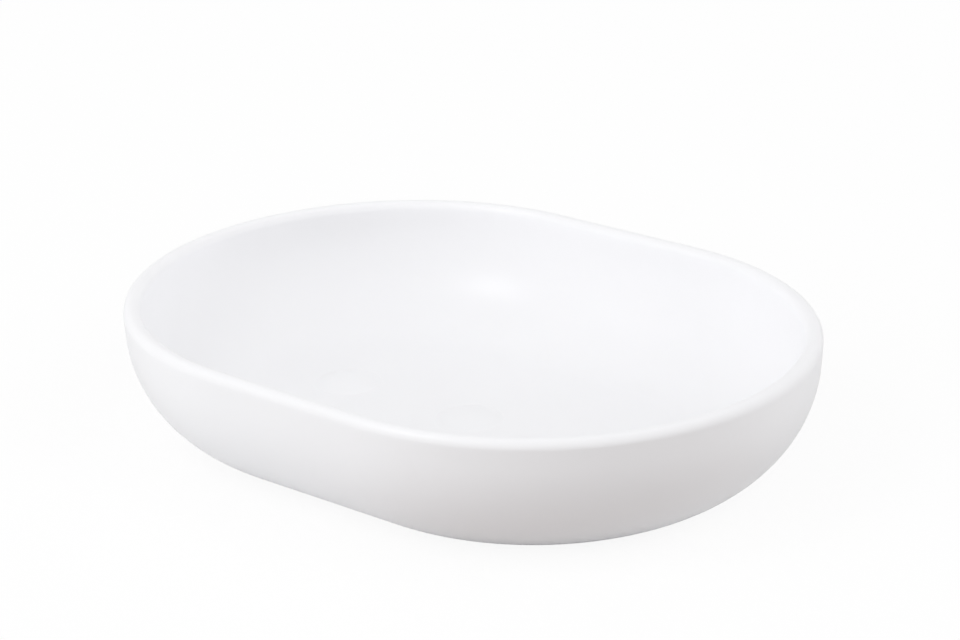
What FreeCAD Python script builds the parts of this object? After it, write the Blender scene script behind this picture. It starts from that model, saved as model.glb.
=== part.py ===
import FreeCAD, Part
import math
import os
import Sketcher

# Soap dish, open shallow bowl with round ends.
# The origin is on the surface that the dish stands on, under its middle.
# X runs along the dish, Y across it, Z up. All lengths are in millimetres.

document = FreeCAD.newDocument("soapDish")
sheet = document.addObject("Spreadsheet::Sheet", "sizes")

# Each row is an alias, its value and what it sets.
drivingSizes = [
    ("dishLength", 140, "overall length of the rim"),
    ("dishWidth", 106.4, "overall width of the rim"),
    ("bodyHeight", 26, "from the flat base up to the rim"),
    ("rimWall", 3.5, "thickness of the wall at the rim"),
    ("floorThick", 2.8, "thickness of the moulding under the soap"),
    ("draftAngle", 3.3, "lean of the outer wall, degrees"),
    ("innerDraft", 4, "lean of the inner wall, degrees"),
    ("wallDrop", 5.5, "straight outer wall, from the rim down"),
    ("innerDrop", 3.5, "straight inner wall, from the rim down"),
    ("baseInset", 13.8, "how far the flat base lies inside the rim"),
    ("baseRound", 1, "radius of the edge of the base"),
    ("lipOuterShare", 0.48, "outer lip radius over the rim wall"),
    ("lipInnerShare", 0.5, "inner lip radius over the rim wall"),
    ("restDiameter", 13, "soap rest, across its foot"),
    ("restHeight", 1, "soap rest, above the floor"),
    ("restSpacing", 31, "from one soap rest to the next"),
    ("restCount", 3, "soap rests in the row"),
    ("padDiameter", 10, "non-slip pad, across"),
    ("padThick", 1.5, "non-slip pad, thickness"),
    ("padGap", 0.2, "clearance between a pad and its pocket, all round"),
    ("padMargin", 6, "from the edge of the base to a pad's pocket"),
    ("padBearing", 45, "direction of a pad from the centre of its end, degrees"),
    ("pocketDepth", 1, "depth of a pad's pocket"),
    ("overlap", 1, "how far a raised form is sunk into what carries it"),
]

for row, (alias, number, note) in enumerate(drivingSizes, start=1):
    sheet.set("A" + str(row), note)
    sheet.set("B" + str(row), str(number))
    sheet.setAlias("B" + str(row), alias)
document.recompute()


def size(alias):
    return float(sheet.get(alias))


# Lengths that follow from the sheet, as expressions for the features.
standHeight = "(sizes.padThick - sizes.pocketDepth)"
endOffset = "(sizes.dishLength / 2 - sizes.dishWidth / 2)"
baseRadius = "(sizes.dishWidth / 2 - sizes.baseInset)"
pocketRadius = "(sizes.padDiameter / 2 + sizes.padGap)"
padReach = "(" + baseRadius + " - sizes.padMargin - " + pocketRadius + ")"
padAlong = "(" + endOffset + " + " + padReach + " * cos(sizes.padBearing))"
padAcross = "(" + padReach + " * sin(sizes.padBearing))"
restStart = "(-sizes.restSpacing * (sizes.restCount - 1) / 2)"
floorLevel = "(" + standHeight + " + sizes.floorThick)"

# The same lengths as numbers, for the first guess of a sketch and to find edges.
stand = size("padThick") - size("pocketDepth")
floorZ = stand + size("floorThick")
rimZ = stand + size("bodyHeight")
rimRadius = size("dishWidth") / 2
innerRadius = rimRadius - size("rimWall")
footRadius = rimRadius - size("baseInset")
endX = size("dishLength") / 2 - rimRadius


def originPlane(body, role):
    return next(item for item in body.Origin.OriginFeatures if item.Role == role)


def newSketch(body, name, role):
    sketch = body.newObject("Sketcher::SketchObject", name)
    sketch.AttachmentSupport = [(originPlane(body, role), "")]
    sketch.MapMode = "FlatFace"
    return sketch


def bind(sketch, kind, places, guess, expression):
    number = sketch.addConstraint(Sketcher.Constraint(kind, *places, guess))
    sketch.setExpression("Constraints[" + str(number) + "]", expression)


def join(sketch, *places):
    sketch.addConstraint(Sketcher.Constraint("Coincident", *places))


def smooth(sketch, *places):
    sketch.addConstraint(Sketcher.Constraint("Tangent", *places))


def at(x, y):
    return FreeCAD.Vector(x, y, 0)


def arcBetween(centre, radius, first, last):
    circle = Part.Circle(centre, FreeCAD.Vector(0, 0, 1), radius)
    start = math.atan2(first.y - centre.y, first.x - centre.x)
    end = math.atan2(last.y - centre.y, last.x - centre.x)
    return Part.ArcOfCircle(circle, start, end)


# Half of the dish's section, from its centre line out to the rim.
# Outside, a drafted wall runs into one large arc that meets the base at an angle.
# Inside, a drafted wall runs into an arc that is tangent to the flat floor.
def drawSection(sketch):
    draft = math.radians(size("draftAngle"))
    lean = math.radians(size("innerDraft"))
    baseEdge = at(footRadius, stand)
    rimOuter = at(rimRadius, rimZ)
    rimInner = at(innerRadius, rimZ)
    shoulder = rimOuter - at(size("wallDrop") * math.tan(draft), size("wallDrop"))
    reach = shoulder - baseEdge
    turn = reach.x * math.cos(draft) - reach.y * math.sin(draft)
    bilge = reach.Length ** 2 / (turn + turn)
    bilgeCentre = shoulder + at(-bilge * math.cos(draft), bilge * math.sin(draft))
    wallFoot = rimInner - at(size("innerDrop") * math.tan(lean), size("innerDrop"))
    hollow = (wallFoot.y - floorZ) / (1 - math.sin(lean))
    hollowCentre = wallFoot + at(-hollow * math.cos(lean), hollow * math.sin(lean))
    floorEdge = at(hollowCentre.x, floorZ)

    base = sketch.addGeometry(Part.LineSegment(at(0, stand), baseEdge))
    outerArc = sketch.addGeometry(arcBetween(bilgeCentre, bilge, baseEdge, shoulder))
    outerWall = sketch.addGeometry(Part.LineSegment(shoulder, rimOuter))
    rim = sketch.addGeometry(Part.LineSegment(rimOuter, rimInner))
    innerWall = sketch.addGeometry(Part.LineSegment(wallFoot, rimInner))
    innerArc = sketch.addGeometry(arcBetween(hollowCentre, hollow, floorEdge, wallFoot))
    floor = sketch.addGeometry(Part.LineSegment(floorEdge, at(0, floorZ)))
    middle = sketch.addGeometry(Part.LineSegment(at(0, floorZ), at(0, stand)))

    join(sketch, base, 2, outerArc, 1)
    smooth(sketch, outerArc, 2, outerWall, 1)
    join(sketch, outerWall, 2, rim, 1)
    join(sketch, rim, 2, innerWall, 2)
    smooth(sketch, innerWall, 1, innerArc, 2)
    smooth(sketch, innerArc, 1, floor, 1)
    join(sketch, floor, 2, middle, 1)
    join(sketch, middle, 2, base, 1)
    sketch.addConstraint(Sketcher.Constraint("Horizontal", base))
    sketch.addConstraint(Sketcher.Constraint("Horizontal", rim))
    sketch.addConstraint(Sketcher.Constraint("Horizontal", floor))
    sketch.addConstraint(Sketcher.Constraint("Vertical", middle))
    sketch.addConstraint(Sketcher.Constraint("PointOnObject", base, 1, -2))

    wallAngle = math.pi / 2 - draft
    innerAngle = math.pi / 2 - lean
    bind(sketch, "DistanceY", (-1, 1, base, 1), stand, standHeight)
    bind(sketch, "DistanceY", (base, 1, rim, 1), size("bodyHeight"), "sizes.bodyHeight")
    bind(sketch, "DistanceX", (-1, 1, rim, 1), rimRadius, "sizes.dishWidth / 2")
    bind(sketch, "DistanceX", (base, 2, rim, 1), size("baseInset"), "sizes.baseInset")
    bind(sketch, "DistanceY", (outerWall, 1, rim, 1), size("wallDrop"), "sizes.wallDrop")
    bind(sketch, "Angle", (outerWall,), wallAngle, "90 deg - sizes.draftAngle * 1 deg")
    bind(sketch, "DistanceX", (rim, 2, rim, 1), size("rimWall"), "sizes.rimWall")
    bind(sketch, "DistanceY", (innerWall, 1, rim, 2), size("innerDrop"), "sizes.innerDrop")
    bind(sketch, "Angle", (innerWall,), innerAngle, "90 deg - sizes.innerDraft * 1 deg")
    bind(sketch, "DistanceY", (base, 1, floor, 2), size("floorThick"), "sizes.floorThick")


def mirrored(body, name, original, role):
    copy = body.newObject("PartDesign::Mirrored", name)
    copy.Originals = [original]
    copy.MirrorPlane = (originPlane(body, role), [""])
    body.Tip = copy
    document.recompute()


def isLevel(edge, height, tolerance):
    box = edge.BoundBox
    return abs(box.ZMin - height) < tolerance and abs(box.ZMax - height) < tolerance


# Names of the level edges at one height whose middle lies one distance from the
# centre segment, which joins the centres of the two round ends.
def edgesAt(shape, height, distance, tolerance=0.01):
    names = []
    for number, edge in enumerate(shape.Edges, start=1):
        middle = edge.valueAt((edge.FirstParameter + edge.LastParameter) / 2)
        along = max(abs(middle.x) - endX, 0)
        onLine = abs(math.hypot(along, middle.y) - distance) < tolerance
        if onLine and isLevel(edge, height, tolerance):
            names.append("Edge" + str(number))
    return names


def fillet(body, name, edges, expression):
    base = body.Tip
    rounding = body.newObject("PartDesign::Fillet", name)
    rounding.Base = (base, edges)
    rounding.setExpression("Radius", expression)
    body.Tip = rounding
    document.recompute()


# Dish moulding: the middle is the section drawn straight along the dish, and
# each end is the same section turned about a vertical axis.
def makeDish():
    body = document.addObject("PartDesign::Body", "dish_moulding")
    middleSketch = newSketch(body, "middleSection", "YZ_Plane")
    drawSection(middleSketch)
    document.recompute()
    middle = body.newObject("PartDesign::Pad", "middle")
    middle.Profile = middleSketch
    middle.Midplane = True
    middle.setExpression("Length", "2 * " + endOffset)
    document.recompute()
    mirrored(body, "otherSide", middle, "XZ_Plane")

    endSketch = newSketch(body, "endSection", "XZ_Plane")
    endSketch.setExpression(".AttachmentOffset.Base.x", endOffset)
    drawSection(endSketch)
    document.recompute()
    end = body.newObject("PartDesign::Revolution", "roundEnd")
    end.Profile = endSketch
    end.ReferenceAxis = (endSketch, ["V_Axis"])
    end.Midplane = True
    end.Angle = 180
    document.recompute()
    mirrored(body, "otherEnd", end, "YZ_Plane")

    rimOuterEdges = edgesAt(body.Shape, rimZ, rimRadius)
    fillet(body, "lipOuter", rimOuterEdges, "sizes.rimWall * sizes.lipOuterShare")
    rimInnerEdges = edgesAt(body.Shape, rimZ, innerRadius)
    fillet(body, "lipInner", rimInnerEdges, "sizes.rimWall * sizes.lipInnerShare")
    baseEdges = edgesAt(body.Shape, stand, footRadius)
    fillet(body, "baseEdge", baseEdges, "sizes.baseRound")
    addSoapRests(body)
    cutPadPockets(body)
    return body


# Soap rests: a row of low domes on the floor, each a slice of a ball.
def addSoapRests(body):
    radius = size("restDiameter") / 2
    height = size("restHeight")
    sunk = size("overlap")
    ball = (radius ** 2 + height ** 2) / (height + height)
    top = at(0, floorZ + height)
    foot = at(radius, floorZ)
    sketch = newSketch(body, "restSection", "XZ_Plane")
    sketch.setExpression(".AttachmentOffset.Base.x", restStart)
    under = sketch.addGeometry(Part.LineSegment(at(0, floorZ - sunk), at(radius, floorZ - sunk)))
    side = sketch.addGeometry(Part.LineSegment(at(radius, floorZ - sunk), foot))
    dome = sketch.addGeometry(arcBetween(at(0, top.y - ball), ball, foot, top))
    axis = sketch.addGeometry(Part.LineSegment(top, at(0, floorZ - sunk)))
    join(sketch, under, 2, side, 1)
    join(sketch, side, 2, dome, 1)
    join(sketch, dome, 2, axis, 1)
    join(sketch, axis, 2, under, 1)
    sketch.addConstraint(Sketcher.Constraint("Horizontal", under))
    sketch.addConstraint(Sketcher.Constraint("Vertical", side))
    sketch.addConstraint(Sketcher.Constraint("Vertical", axis))
    sketch.addConstraint(Sketcher.Constraint("PointOnObject", under, 1, -2))
    sketch.addConstraint(Sketcher.Constraint("PointOnObject", dome, 3, -2))
    bind(sketch, "DistanceX", (under, 1, under, 2), radius, "sizes.restDiameter / 2")
    bind(sketch, "DistanceY", (-1, 1, side, 2), floorZ, floorLevel)
    bind(sketch, "DistanceY", (side, 2, dome, 2), height, "sizes.restHeight")
    bind(sketch, "DistanceY", (side, 1, side, 2), sunk, "sizes.overlap")
    document.recompute()
    before = body.Shape.Volume
    rest = body.newObject("PartDesign::Revolution", "soapRest")
    rest.Profile = sketch
    rest.ReferenceAxis = (sketch, ["V_Axis"])
    rest.Angle = 360
    document.recompute()
    row = body.newObject("PartDesign::LinearPattern", "soapRestRow")
    row.Originals = [rest]
    row.Direction = (sketch, ["H_Axis"])
    row.setExpression("Occurrences", "sizes.restCount")
    row.setExpression("Length", "sizes.restSpacing * (sizes.restCount - 1)")
    body.Tip = row
    document.recompute()
    if body.Shape.Volume <= before:
        raise RuntimeError("the soap rests added nothing")


# Pad pockets: four shallow round recesses in the base.
def cutPadPockets(body):
    reach = footRadius - size("padMargin") - size("padDiameter") / 2 - size("padGap")
    bearing = math.radians(size("padBearing"))
    along = endX + reach * math.cos(bearing)
    across = reach * math.sin(bearing)
    sketch = newSketch(body, "padPlaces", "XY_Plane")
    sketch.setExpression(".AttachmentOffset.Base.z", standHeight)
    radius = size("padDiameter") / 2 + size("padGap")
    for sideX, sideY in padSides.values():
        centre = at(sideX * along, sideY * across)
        circle = sketch.addGeometry(Part.Circle(centre, FreeCAD.Vector(0, 0, 1), radius))
        bind(sketch, "Radius", (circle,), radius, pocketRadius)
        fromX = (-1, 1, circle, 3) if sideX > 0 else (circle, 3, -1, 1)
        fromY = (-1, 1, circle, 3) if sideY > 0 else (circle, 3, -1, 1)
        bind(sketch, "DistanceX", fromX, along, padAlong)
        bind(sketch, "DistanceY", fromY, across, padAcross)
    document.recompute()
    before = body.Shape.Volume
    pockets = body.newObject("PartDesign::Pocket", "padPockets")
    pockets.Profile = sketch
    pockets.Reversed = True
    pockets.setExpression("Length", "sizes.pocketDepth")
    body.Tip = pockets
    document.recompute()
    if body.Shape.Volume >= before:
        raise RuntimeError("the pad pockets cut nothing")


# Non-slip pads: round rubber discs that fill the pockets and stand proud of the base.
padSides = {
    "foot_pad_front_left": (-1, -1),
    "foot_pad_front_right": (1, -1),
    "foot_pad_back_left": (-1, 1),
    "foot_pad_back_right": (1, 1),
}


def makePad(name, sideX, sideY):
    body = document.addObject("PartDesign::Body", name)
    body.setExpression(".Placement.Base.x", str(sideX) + " * " + padAlong)
    body.setExpression(".Placement.Base.y", str(sideY) + " * " + padAcross)
    sketch = newSketch(body, name + "_circle", "XY_Plane")
    radius = size("padDiameter") / 2
    circle = sketch.addGeometry(Part.Circle(at(0, 0), FreeCAD.Vector(0, 0, 1), radius))
    join(sketch, circle, 3, -1, 1)
    bind(sketch, "Radius", (circle,), radius, "sizes.padDiameter / 2")
    document.recompute()
    disc = body.newObject("PartDesign::Pad", name + "_disc")
    disc.Profile = sketch
    disc.setExpression("Length", "sizes.padThick")
    document.recompute()
    return body


nodes = [makeDish()]
for padName, (sideX, sideY) in padSides.items():
    nodes.append(makePad(padName, sideX, sideY))
document.recompute()

for item in document.Objects:
    if "Invalid" in item.State or "Error" in item.State:
        raise RuntimeError(item.Name + " failed: " + str(item.State))
for node in nodes:
    if node.Shape.isNull() or not node.Shape.isValid() or len(node.Shape.Solids) != 1:
        raise RuntimeError(node.Label + " is not one valid solid")

os.makedirs("parts", exist_ok=True)
for node in nodes:
    node.Shape.exportStep("parts/" + node.Label + ".step")
    box = node.Shape.BoundBox
    print(node.Label, round(node.Shape.Volume, 1), "mm3", [round(v, 2) for v in (
        box.XMin, box.YMin, box.ZMin, box.XMax, box.YMax, box.ZMax)])
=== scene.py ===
import math

import bmesh
import bpy
import numpy as np
from mathutils import Matrix, Vector


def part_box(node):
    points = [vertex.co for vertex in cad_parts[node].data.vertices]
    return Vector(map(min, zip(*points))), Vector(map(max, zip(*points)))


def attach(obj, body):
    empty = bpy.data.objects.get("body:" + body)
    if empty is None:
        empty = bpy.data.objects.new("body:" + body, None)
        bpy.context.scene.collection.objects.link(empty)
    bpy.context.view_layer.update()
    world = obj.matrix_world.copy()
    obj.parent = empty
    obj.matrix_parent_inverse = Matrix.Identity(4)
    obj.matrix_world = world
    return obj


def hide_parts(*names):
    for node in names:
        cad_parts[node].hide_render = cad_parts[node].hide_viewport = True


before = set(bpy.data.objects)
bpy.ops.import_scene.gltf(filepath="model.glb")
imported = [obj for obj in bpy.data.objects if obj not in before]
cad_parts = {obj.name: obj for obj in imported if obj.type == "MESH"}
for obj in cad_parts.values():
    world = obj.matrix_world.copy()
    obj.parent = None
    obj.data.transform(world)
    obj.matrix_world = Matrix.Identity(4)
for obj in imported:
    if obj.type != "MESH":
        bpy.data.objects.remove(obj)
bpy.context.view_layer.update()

# Soap dish: one satin white moulding that stands on four silicone pads.
# In the dictionaries, lengths are in millimetres and angles in degrees. Meshes are in metres.
mm = 0.001
print("frame loaded:", sorted(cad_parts))


# Colour and nodes

def hexColour(code):
    # sRGB to linear: c / 12.92 below 0.04045, else ((c + 0.055) / 1.055) to the power 2.4
    levels = np.array([int(code[i:i + 2], 16) for i in (1, 3, 5)]) / 255
    linear = np.where(levels <= 0.04045, levels / 12.92, ((levels + 0.055) / 1.055) ** 2.4)
    return (*linear.tolist(), 1.0)


def addNode(tree, kind, values=None, links=None, **settings):
    # Values and links go to sockets by name or number. A Mix of colours takes its factor at 0
    # and its colours at 6 and 7, and gives the mixed colour at output 2.
    node = tree.nodes.new(kind)
    for name, value in settings.items():
        setattr(node, name, value)
    for name, value in (values or {}).items():
        node.inputs[name].default_value = value
    for name, source in (links or {}).items():
        tree.links.new(source, node.inputs[name])
    return node


def newMaterial(name):
    material = bpy.data.materials.new(name)
    material.use_nodes = True
    material.node_tree.nodes.clear()
    return material, material.node_tree


# Camera: where the picture was taken from. Pixels are those of a 960 x 640 picture.

cameraSetup = {
    "azimuth": 39.06,         # round from the front, towards the right end
    "elevation": 21.65,       # above the floor
    "roll": -1.31,
    "distance": 538.5,        # from the middle of the dish's base
    "focalPixels": 2787.0,    # focal length, in pixels of the picture
    "basePixel": (469.6, 431.7),   # where the middle of the base comes out
    "pictureSize": (960, 640),
    "sensor": 36.0,
    "nearest": 10.0,          # what is nearer isn't drawn
}


def awayAt(setup):
    # unit vector at an azimuth, round from the front, and an elevation
    azimuth, elevation = math.radians(setup["azimuth"]), math.radians(setup["elevation"])
    return Vector((math.sin(azimuth) * math.cos(elevation),
                   -math.cos(azimuth) * math.cos(elevation), math.sin(elevation)))


def addCamera(setup):
    # It stands at its distance from the middle of the base, then moves across and up its own
    # picture plane until that middle comes out at its pixel.
    azimuth, roll = math.radians(setup["azimuth"]), math.radians(setup["roll"])
    back = awayAt(setup)
    level = Vector((math.cos(azimuth), math.sin(azimuth), 0))
    upright = back.cross(level)
    right = math.cos(roll) * level + math.sin(roll) * upright
    up = -math.sin(roll) * level + math.cos(roll) * upright
    wide, high = setup["pictureSize"]
    across = (setup["basePixel"][0] - wide / 2) / setup["focalPixels"]
    down = (setup["basePixel"][1] - high / 2) / setup["focalPixels"]
    target = Vector((0, 0, dish["stand"]))
    place = (target + (back - right * across + up * down) * setup["distance"]) * mm
    data = bpy.data.cameras.new("camera")
    data.sensor_width = setup["sensor"]
    data.lens = setup["focalPixels"] / wide * setup["sensor"]
    data.clip_start = setup["nearest"] * mm
    camera = bpy.data.objects.new("camera", data)
    turned = Matrix((right, up, back)).transposed().to_4x4()
    camera.matrix_world = Matrix.Translation(place) @ turned
    bpy.context.scene.collection.objects.link(camera)
    bpy.context.scene.camera = camera


# Stage: a white floor whose paper carries painted shade and painted light, a light tent round it
# and one softbox

stage = {
    "floorSpan": 6000.0,
    "floorPaint": "#EAEAEA",   # the paper, as the dish sees it
    "paintedShadePaint": "#CBC6C4",    # painted shade: the paper made darker and warmer on that side, so that less light comes off it onto the dish's right front
    "paintedShadeSide": {"azimuth": 55, "elevation": 0},
    "paintedShadeFrom": 0.5,           # cosine of the angle off that side where the painted shade begins
    "paintedFootLight": "#F8F8F8",    # painted light: the paper whiter close round the foot of the dish, against the dish's own shade there
    "paintedFootLightZone": (42.0, 56.0),  # the painted light fades out between these distances in front of the middle
    "shadowShare": 0.1,        # how much of the real shadow shows on the white floor
    "plainLevel": 0.20,        # light that comes from everywhere alike
    "panelNarrow": 12.0,       # power of the cosine by which a panel fades off its middle
}

# Panels of the tent: the direction of the middle, and the level there, where 1 is plain white.
tentPanels = {
    "frontLeft": {"azimuth": -30, "elevation": 20, "level": 1.75},
    "frontLeftLow": {"azimuth": -30, "elevation": 3, "level": 1.6},
    "right": {"azimuth": 98, "elevation": 20, "level": 1.4},
    "backRightLow": {"azimuth": 150, "elevation": 3, "level": 1.9},
    "frontHigh": {"azimuth": 0, "elevation": 50, "level": 1.32},
    "rightHigh": {"azimuth": 113, "elevation": 50, "level": 1.57},
    "backLeftHigh": {"azimuth": -120, "elevation": 50, "level": 1.1},
}

softbox = {
    "azimuth": -28,           # its soft reflection lies in the bowl, high on the back wall
    "elevation": 54,
    "width": 200.0,
    "distance": 700.0,
    "watts": 0.45,
}


def paperWithPaintedLight(tree, setup):
    # The paper gets painted shade with the cosine of the angle off its shaded side, and painted
    # light in an oval round the dish, whose length is to its width as the flat base's is.
    where = addNode(tree, "ShaderNodeTexCoord").outputs["Object"]
    away = addNode(tree, "ShaderNodeVectorMath", None, {0: where}, operation="NORMALIZE")
    facing = addNode(tree, "ShaderNodeVectorMath", {1: awayAt(setup["paintedShadeSide"])},
                     {0: away.outputs[0]}, operation="DOT_PRODUCT")
    # painted shade: how far this point of the paper lies towards the shaded side
    paintedShadeMask = addNode(tree, "ShaderNodeMapRange", {"From Min": setup["paintedShadeFrom"]},
                   {"Value": facing.outputs["Value"]}, interpolation_type="SMOOTHSTEP")
    shadedPaper = addNode(tree, "ShaderNodeMix",
                    {6: hexColour(setup["floorPaint"]), 7: hexColour(setup["paintedShadePaint"])},
                    {0: paintedShadeMask.outputs[0]}, data_type="RGBA")
    oval = (dish["width"] / 2 - dish["baseInset"]) / (dish["length"] / 2 - dish["baseInset"])
    drawnIn = addNode(tree, "ShaderNodeVectorMath", {1: (oval, 1, 1)}, {0: where},
                      operation="MULTIPLY")
    reach = addNode(tree, "ShaderNodeVectorMath", None, {0: drawnIn.outputs[0]},
                    operation="LENGTH")
    start, end = setup["paintedFootLightZone"]
    outsidePaintedLight = addNode(tree, "ShaderNodeMapRange", {"From Min": start * mm, "From Max": end * mm},
                     {"Value": reach.outputs["Value"]}, interpolation_type="SMOOTHSTEP")
    # painted light round the foot, the paper with its painted shade beyond it
    return addNode(tree, "ShaderNodeMix", {6: hexColour(setup["paintedFootLight"])},
                   {0: outsidePaintedLight.outputs[0], 7: shadedPaper.outputs[2]}, data_type="RGBA").outputs[2]


def addFloor(setup):
    # To the camera the floor is nearly all plain white, with a share of the lit paper in it.
    half = setup["floorSpan"] * mm / 2
    mesh = bpy.data.meshes.new("floor")
    mesh.from_pydata([(-half, -half, 0), (half, -half, 0), (half, half, 0), (-half, half, 0)], [],
                     [(0, 1, 2, 3)])
    material, tree = newMaterial("white paper sweep, matt, with painted shade and light")
    rays = addNode(tree, "ShaderNodeLightPath")
    tone = addNode(tree, "ShaderNodeMix", {7: (1, 1, 1, 1)},
                   {0: rays.outputs["Is Camera Ray"], 6: paperWithPaintedLight(tree, setup)},
                   data_type="RGBA")
    paper = addNode(tree, "ShaderNodeBsdfDiffuse", None, {"Color": tone.outputs[2]})
    white = addNode(tree, "ShaderNodeEmission", {"Color": (1, 1, 1, 1), "Strength": 1.0})
    seen = addNode(tree, "ShaderNodeMath", {1: 1 - setup["shadowShare"]},
                   {0: rays.outputs["Is Camera Ray"]}, operation="MULTIPLY")
    shader = addNode(tree, "ShaderNodeMixShader", None,
                     {0: seen.outputs[0], 1: paper.outputs[0], 2: white.outputs[0]})
    addNode(tree, "ShaderNodeOutputMaterial", None, {"Surface": shader.outputs[0]})
    mesh.materials.append(material)
    floor = bpy.data.objects.new("floor", mesh)
    bpy.context.scene.collection.objects.link(floor)


def tentLevel(tree, setup):
    # plain level + the sum over the panels of level * max(0, direction . panel) ** narrow,
    # where Generated is the direction, because this is a world
    direction = addNode(tree, "ShaderNodeTexCoord").outputs["Generated"]
    plain = addNode(tree, "ShaderNodeValue")
    plain.outputs[0].default_value = setup["plainLevel"]
    total = plain.outputs[0]
    for panel in tentPanels.values():
        facing = addNode(tree, "ShaderNodeVectorMath", {1: awayAt(panel)}, {0: direction},
                         operation="DOT_PRODUCT").outputs["Value"]
        lit = addNode(tree, "ShaderNodeMath", {1: 0.0}, {0: facing}, operation="MAXIMUM")
        shaped = addNode(tree, "ShaderNodeMath", {1: setup["panelNarrow"]}, {0: lit.outputs[0]},
                         operation="POWER")
        total = addNode(tree, "ShaderNodeMath", {1: panel["level"]},
                        {0: shaped.outputs[0], 2: total}, operation="MULTIPLY_ADD").outputs[0]
    return total


def addSurround(setup):
    # The camera and the glossy and clear surfaces see plain white, and all else the tent.
    world = bpy.data.worlds.new("surround")
    bpy.context.scene.world = world
    world.use_nodes = True
    tree = world.node_tree
    tree.nodes.clear()
    rays = addNode(tree, "ShaderNodeLightPath")
    glossy = addNode(tree, "ShaderNodeMath", None,
                     {0: rays.outputs["Is Camera Ray"], 1: rays.outputs["Is Glossy Ray"]},
                     operation="MAXIMUM")
    direct = addNode(tree, "ShaderNodeMath", None,
                     {0: glossy.outputs[0], 1: rays.outputs["Is Transmission Ray"]},
                     operation="MAXIMUM")
    ambient = addNode(tree, "ShaderNodeBackground", {"Color": (1, 1, 1, 1)},
                      {"Strength": tentLevel(tree, setup)})
    white = addNode(tree, "ShaderNodeBackground", {"Color": (1, 1, 1, 1), "Strength": 1.0})
    shader = addNode(tree, "ShaderNodeMixShader", None,
                     {0: direct.outputs[0], 1: ambient.outputs[0], 2: white.outputs[0]})
    addNode(tree, "ShaderNodeOutputWorld", None, {"Surface": shader.outputs[0]})


def addSoftbox(setup):
    toward = awayAt(setup)
    data = bpy.data.lights.new("softbox", "AREA")
    data.shape = "SQUARE"
    data.size = setup["width"] * mm
    data.energy = setup["watts"]
    lamp = bpy.data.objects.new("softbox", data)
    lamp.location = toward * setup["distance"] * mm
    lamp.rotation_euler = toward.to_track_quat("Z", "Y").to_euler()
    bpy.context.scene.collection.objects.link(lamp)


# Dish: one section carried round a plan with straight sides and round ends

dish = {
    "length": 140.0,
    "width": 106.4,
    "stand": 0.5,             # gap under the flat base, which the pads keep
    "bodyHeight": 26.0,
    "rimWall": 3.5,
    "floorThick": 2.8,
    "draft": 3.3,             # lean of the outer wall
    "lean": 4.0,              # lean of the inner wall
    "wallDrop": 5.5,          # straight outer wall, from the rim down
    "innerDrop": 3.5,         # straight inner wall, from the rim down
    "baseInset": 13.8,        # how far the flat base lies inside the rim
    "baseRound": 1.0,
    "lipOuter": 1.68,         # radius
    "lipInner": 1.75,
    "baseSteps": 6,           # steps along each arc of the section, from the base's edge on
    "bilgeSteps": 44,
    "lipOuterSteps": 16,
    "lipInnerSteps": 18,
    "hollowSteps": 52,
    "stepsPerEnd": 96,
    "stepsPerSide": 10,
    "flatSlack": 0.0001,      # a corner this close to a flat's height belongs to the flat
    "sharpAngle": 35.0,       # an edge that turns by more is drawn sharp, on the pads too
}

soapRest = {
    "diameter": 13.0,
    "height": 1.0,
    "spacing": 31.0,
    "count": 3,
    "footRound": 0.6,
    "footSteps": 5,
    "ballSteps": 16,
    "steps": 64,              # round it
}

pocket = {
    "clearance": 0.2,         # all round a pad
    "depth": 1.0,
    "mouthRound": 0.15,
    "mouthSteps": 4,
    "steps": 64,
}


def arcPoints(centre, radius, start, end, steps):
    # centre + radius * (cos a, sin a), with a from start to end
    angle = np.radians(np.linspace(start, end, steps + 1))
    return np.asarray(centre) + radius * np.column_stack((np.cos(angle), np.sin(angle)))


def bearing(vector):
    return math.degrees(math.atan2(vector[1], vector[0]))


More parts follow.
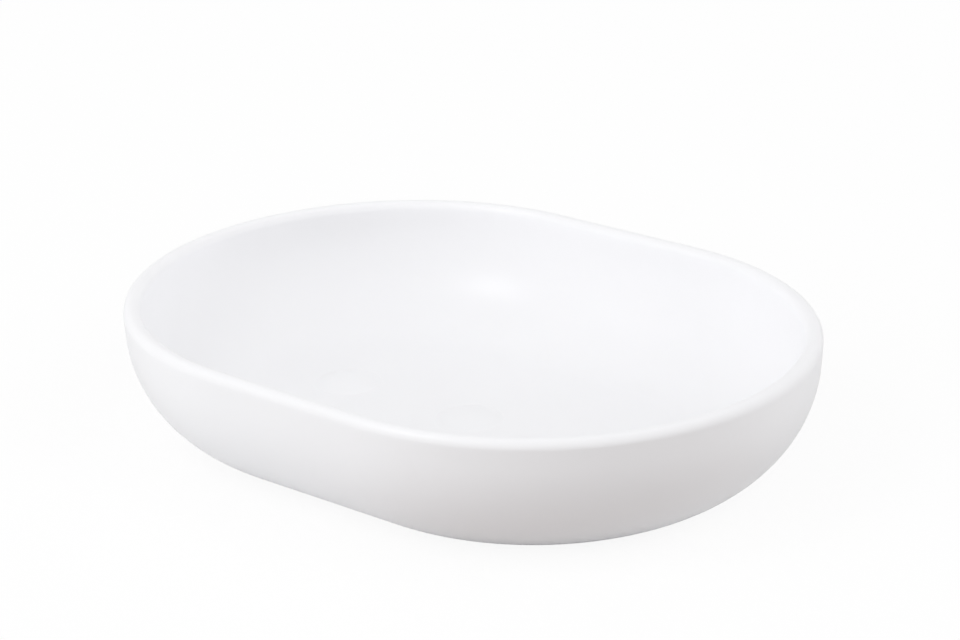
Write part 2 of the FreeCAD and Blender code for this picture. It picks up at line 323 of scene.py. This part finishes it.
def dishSection(d):
    # Distance from the centre segment and height, from the flat base's edge to the floor's edge.
    # The outer bilge is the arc that is tangent to the drafted wall and meets the base's edge:
    # its radius is the square of the chord over twice the chord's part across the wall.
    # The hollow is the arc that is tangent to the leaning inner wall and to the level floor.
    # The base's round is tangent to the flat base and, from inside, to the bilge.
    # The lip's two arcs are each tangent to a wall and to the level top of the rim.
    draft, lean = math.radians(d["draft"]), math.radians(d["lean"])
    rimHeight = d["stand"] + d["bodyHeight"]
    floorHeight = d["stand"] + d["floorThick"]
    rimRadius = d["width"] / 2
    wallRadius = rimRadius - d["rimWall"]
    baseEdge = np.array((rimRadius - d["baseInset"], d["stand"]))
    shoulder = np.array((rimRadius - d["wallDrop"] * math.tan(draft), rimHeight - d["wallDrop"]))
    chord = shoulder - baseEdge
    bilge = chord @ chord / (2 * (chord[0] * math.cos(draft) - chord[1] * math.sin(draft)))
    bilgeCentre = shoulder + bilge * np.array((-math.cos(draft), math.sin(draft)))
    roundHeight = d["stand"] + d["baseRound"] - bilgeCentre[1]
    roundAlong = math.sqrt((bilge - d["baseRound"]) ** 2 - roundHeight ** 2)
    roundCentre = bilgeCentre + (roundAlong, roundHeight)
    meeting = bearing((roundAlong, roundHeight))
    outer, inner = d["lipOuter"], d["lipInner"]
    outerCentre = (rimRadius - outer * (1 + math.sin(draft)) / math.cos(draft), rimHeight - outer)
    innerCentre = (wallRadius + inner * (1 - math.sin(lean)) / math.cos(lean), rimHeight - inner)
    wallFoot = np.array((wallRadius - d["innerDrop"] * math.tan(lean), rimHeight - d["innerDrop"]))
    hollow = (wallFoot[1] - floorHeight) / (1 - math.sin(lean))
    hollowCentre = wallFoot + hollow * np.array((-math.cos(lean), math.sin(lean)))
    return np.vstack((
        arcPoints(roundCentre, d["baseRound"], -90, meeting, d["baseSteps"])[:-1],
        arcPoints(bilgeCentre, bilge, meeting, -d["draft"], d["bilgeSteps"]),
        arcPoints(outerCentre, outer, -d["draft"], 90, d["lipOuterSteps"]),
        arcPoints(innerCentre, inner, 90, 180 - d["lean"], d["lipInnerSteps"]),
        arcPoints(hollowCentre, hollow, -d["lean"], -90, d["hollowSteps"]),
    ))


def planRound(d):
    # Where the section stands as it goes round: its place on the centre segment and its
    # bearing. It turns through half a circle at each end and slides along each side.
    halfSpan = (d["length"] - d["width"]) / 2
    turn = np.linspace(-90, 90, d["stepsPerEnd"] + 1)
    slide = np.linspace(1, -1, d["stepsPerSide"] + 1)[1:-1]
    place = np.concatenate((np.ones_like(turn), slide, -np.ones_like(turn), -slide)) * halfSpan
    turned = np.concatenate((turn, np.full_like(slide, 90), turn + 180, np.full_like(slide, 270)))
    return place, np.radians(turned)


def gridFaces(rows, columns, first=0):
    # quads of a grid whose columns close on themselves, one row after another
    row, column = np.mgrid[0:rows - 1, 0:columns]
    beside = (column + 1) % columns
    quads = np.stack((row * columns + column, row * columns + beside,
                      (row + 1) * columns + beside, (row + 1) * columns + column), axis=-1)
    return (quads.reshape(-1, 4) + first).tolist()


def roundPatch(centre, profile, steps, first):
    # A profile of (radius, height) turned about an upright axis: the last point is the pole.
    angle = np.linspace(0, 2 * math.pi, steps, endpoint=False)
    radius, height = profile[:-1, 0][:, None], profile[:-1, 1][:, None]
    ring = np.stack((centre[0] + radius * np.cos(angle), centre[1] + radius * np.sin(angle),
                     height + 0 * angle), axis=-1).reshape(-1, 3)
    points = np.vstack((ring, (centre[0], centre[1], profile[-1, 1])))
    pole = first + len(ring)
    last = pole - steps
    fan = [(last + i, last + (i + 1) % steps, pole) for i in range(steps)]
    return points, gridFaces(len(profile) - 1, steps, first) + fan


def restProfile(r, floorHeight):
    # A slice of a ball with a small hollow round at its foot. The ball's radius is
    # (a a + h h) / 2h, where a is half the width of the slice and h is its height.
    ball = ((r["diameter"] / 2) ** 2 + r["height"] ** 2) / (2 * r["height"])
    ballCentre = np.array((0, floorHeight + r["height"] - ball))
    rise = r["footRound"] + floorHeight - ballCentre[1]
    foot = np.array((math.sqrt((ball + r["footRound"]) ** 2 - rise ** 2),
                     floorHeight + r["footRound"]))
    lean = bearing(foot - ballCentre)
    return np.vstack((
        arcPoints(foot, r["footRound"], 270, 180 + lean, r["footSteps"])[:-1],
        arcPoints(ballCentre, ball, lean, 90, r["ballSteps"]),
    ))


def pocketProfile(p, radius, stand):
    # A shallow round recess in the base, with its mouth slightly rounded.
    mouth = (radius + p["mouthRound"], stand + p["mouthRound"])
    top = stand + p["depth"]
    return np.vstack((
        arcPoints(mouth, p["mouthRound"], 270, 180, p["mouthSteps"]),
        [(radius, top), (0, top)],
    ))


def makeDish():
    # A point of the shell is its place on the centre segment + its distance from there along
    # its bearing, at the section's height.
    section = dishSection(dish)
    place, turned = planRound(dish)
    reach = section[:, 0][:, None]
    shell = np.stack((place + reach * np.cos(turned), reach * np.sin(turned),
                      section[:, 1][:, None] + 0 * turned), axis=-1).reshape(-1, 3)
    points, faces = [shell], gridFaces(len(section), len(turned))
    floorHeight = dish["stand"] + dish["floorThick"]
    patches = []  # soap rests on the floor and pockets in the base
    for index in range(soapRest["count"]):
        along = (index - (soapRest["count"] - 1) / 2) * soapRest["spacing"]
        patches.append(((along, 0), restProfile(soapRest, floorHeight), soapRest["steps"]))
    for low, high in (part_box(node) for node in padNodes):
        centre = (low + high) / 2 / mm
        radius = (high.x - low.x) / 2 / mm + pocket["clearance"]
        patches.append((centre, pocketProfile(pocket, radius, dish["stand"]), pocket["steps"]))
    for centre, profile, steps in patches:
        patch, more = roundPatch(centre, profile, steps, sum(map(len, points)))
        points.append(patch)
        faces += more
    mesh = bpy.data.meshes.new("dish")
    mesh.from_pydata((np.vstack(points) * mm).tolist(), [], faces)
    closeFlats(mesh, (dish["stand"] * mm, floorHeight * mm))
    return addPiece("dish", mesh, "dish_moulding")


def closeFlats(mesh, levels):
    # The flat base and the flat floor span their outer loop and the loops of what is on them.
    shell = bmesh.new()
    shell.from_mesh(mesh)
    for level in levels:
        loops = [e for e in shell.edges if e.is_boundary
                 and all(abs(v.co.z - level) < dish["flatSlack"] * mm for v in e.verts)]
        bmesh.ops.triangle_fill(shell, edges=loops, use_beauty=True, normal=(0, 0, 1))
    bmesh.ops.recalc_face_normals(shell, faces=shell.faces)
    if any(not e.is_manifold for e in shell.edges):
        raise ValueError("the dish isn't closed")
    shell.to_mesh(mesh)
    shell.free()


def addPiece(name, mesh, node):
    mesh.shade_smooth()
    mesh.set_sharp_from_angle(angle=math.radians(dish["sharpAngle"]))
    piece = bpy.data.objects.new(name, mesh)
    bpy.context.scene.collection.objects.link(piece)
    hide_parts(node)
    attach(piece, "root")
    return piece


# Pads: silicone discs with softly rounded edges

padNodes = ["foot_pad_front_left", "foot_pad_front_right", "foot_pad_back_left",
            "foot_pad_back_right"]

pad = {
    "edgeRound": 0.35,        # lower edge, which shows
    "edgeSteps": 8,
    "topRound": 0.1,          # upper edge, in the pocket
    "topSteps": 4,
    "steps": 64,
}


def makePad(node):
    # A closed turned disc: upper pole, upper edge, side, lower edge, lower pole.
    low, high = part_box(node)
    centre = (low + high) / 2 / mm
    radius, thick = (high.x - low.x) / 2 / mm, (high.z - low.z) / mm
    lower, upper = pad["edgeRound"], pad["topRound"]
    side = np.vstack((
        arcPoints((radius - upper, thick - upper), upper, 90, 0, pad["topSteps"]),
        arcPoints((radius - lower, lower), lower, 0, -90, pad["edgeSteps"]),
        [(0, 0)],
    ))
    points, faces = roundPatch(centre, side, pad["steps"], 0)
    top = len(points)
    points = np.vstack((points, (centre.x, centre.y, thick)))
    faces += [(i, top, (i + 1) % pad["steps"]) for i in range(pad["steps"])]
    mesh = bpy.data.meshes.new(node + "_disc")
    mesh.from_pydata((points * mm).tolist(), [], faces)
    disc = bmesh.new()
    disc.from_mesh(mesh)
    bmesh.ops.recalc_face_normals(disc, faces=disc.faces)
    disc.to_mesh(mesh)
    disc.free()
    piece = addPiece(node.replace("foot_pad", "silicone_pad"), mesh, node)
    return piece


# Materials. A detail is how many finer noises are laid over the first.

melamine = {
    "white": "#F9F9FB",
    "shade": "#F7F7F9",
    "cloud": 22.0,            # size of the faint change of tone
    "cloudDetail": 2.0,
    "roughness": (0.30, 0.35),
    "ior": 1.55,
    "grain": 0.45,            # grain of the blasted mould, drawn a little coarse to show
    "grainDetail": 3.0,
    "grainDepth": 0.0020,
    "sag": 9.0,               # long, faint waves left by shrinkage
    "sagDetail": 1.0,
    "sagDepth": 0.0040,
}

silicone = {
    "grey": "#B9BCBE",
    "milky": "#C3C6C8",
    "cloud": 3.0,
    "cloudDetail": 2.0,
    "roughness": (0.55, 0.68),
    "ior": 1.41,
    "grain": 0.3,             # texture of the calendered sheet
    "grainDetail": 3.0,
    "grainDepth": 0.004,
    "softness": 0.15,         # share of the light that spreads under the surface
    "lightReach": 0.8,        # how far it spreads
}


def noiseAt(tree, where, size, detail):
    # a noise whose lumps are about that many millimetres across
    return addNode(tree, "ShaderNodeTexNoise", {"Scale": 1 / (size * mm), "Detail": detail},
                   {"Vector": where}).outputs["Fac"]


def bumpFrom(tree, height, depth, below=None):
    # raised by up to that many millimetres, on top of the bump below it
    links = {"Height": height}
    if below is not None:
        links["Normal"] = below
    return addNode(tree, "ShaderNodeBump", {"Distance": depth * mm, "Strength": 1.0},
                   links).outputs["Normal"]


def mouldedMelamine(m):
    # Melamine resin, compression moulded in a lightly blasted steel mould: an even, dense
    # white with hardly any grain, and a satin sheen in which a lamp shows as a soft glow.
    material, tree = newMaterial("white melamine, moulded satin")
    where = addNode(tree, "ShaderNodeTexCoord").outputs["Object"]
    cloud = noiseAt(tree, where, m["cloud"], m["cloudDetail"])
    grain = noiseAt(tree, where, m["grain"], m["grainDetail"])
    tone = addNode(tree, "ShaderNodeMix", {6: hexColour(m["white"]), 7: hexColour(m["shade"])},
                   {0: cloud}, data_type="RGBA")
    rough = addNode(tree, "ShaderNodeMapRange",
                    {"To Min": m["roughness"][0], "To Max": m["roughness"][1]}, {"Value": grain})
    waves = bumpFrom(tree, noiseAt(tree, where, m["sag"], m["sagDetail"]), m["sagDepth"])
    normal = bumpFrom(tree, grain, m["grainDepth"], waves)
    shader = addNode(tree, "ShaderNodeBsdfPrincipled", {"IOR": m["ior"]},
                     {"Base Color": tone.outputs[2], "Roughness": rough.outputs[0],
                      "Normal": normal})
    addNode(tree, "ShaderNodeOutputMaterial", None, {"Surface": shader.outputs[0]})
    return material


def sheetSilicone(s):
    # Silicone rubber, punched from calendered sheet: pale grey, matt and slightly milky,
    # so that its edge takes a little light from inside.
    material, tree = newMaterial("grey silicone rubber, punched sheet")
    where = addNode(tree, "ShaderNodeTexCoord").outputs["Object"]
    cloud = noiseAt(tree, where, s["cloud"], s["cloudDetail"])
    grain = noiseAt(tree, where, s["grain"], s["grainDetail"])
    tone = addNode(tree, "ShaderNodeMix", {6: hexColour(s["grey"]), 7: hexColour(s["milky"])},
                   {0: cloud}, data_type="RGBA")
    rough = addNode(tree, "ShaderNodeMapRange",
                    {"To Min": s["roughness"][0], "To Max": s["roughness"][1]}, {"Value": grain})
    normal = bumpFrom(tree, grain, s["grainDepth"])
    shader = addNode(tree, "ShaderNodeBsdfPrincipled",
                     {"IOR": s["ior"], "Subsurface Weight": s["softness"],
                      "Subsurface Scale": s["lightReach"] * mm,
                      "Subsurface Radius": (1.0, 1.0, 1.0)},
                     {"Base Color": tone.outputs[2], "Roughness": rough.outputs[0],
                      "Normal": normal})
    addNode(tree, "ShaderNodeOutputMaterial", None, {"Surface": shader.outputs[0]})
    return material


addCamera(cameraSetup)
addFloor(stage)
addSurround(stage)
addSoftbox(softbox)
bpy.context.scene.view_settings.view_transform = "Standard"
print("camera, floor, light tent and softbox made")

plastic = mouldedMelamine(melamine)
dishPiece = makeDish()
dishPiece.data.materials.append(plastic)
print("dish made:", len(dishPiece.data.polygons), "faces")

rubber = sheetSilicone(silicone)
for padNode in padNodes:
    makePad(padNode).data.materials.append(rubber)
print("pads made")

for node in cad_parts.values():  # the CAD pieces get the same finishes
    node.data.materials.clear()
    node.data.materials.append(rubber if node.name in padNodes else plastic)
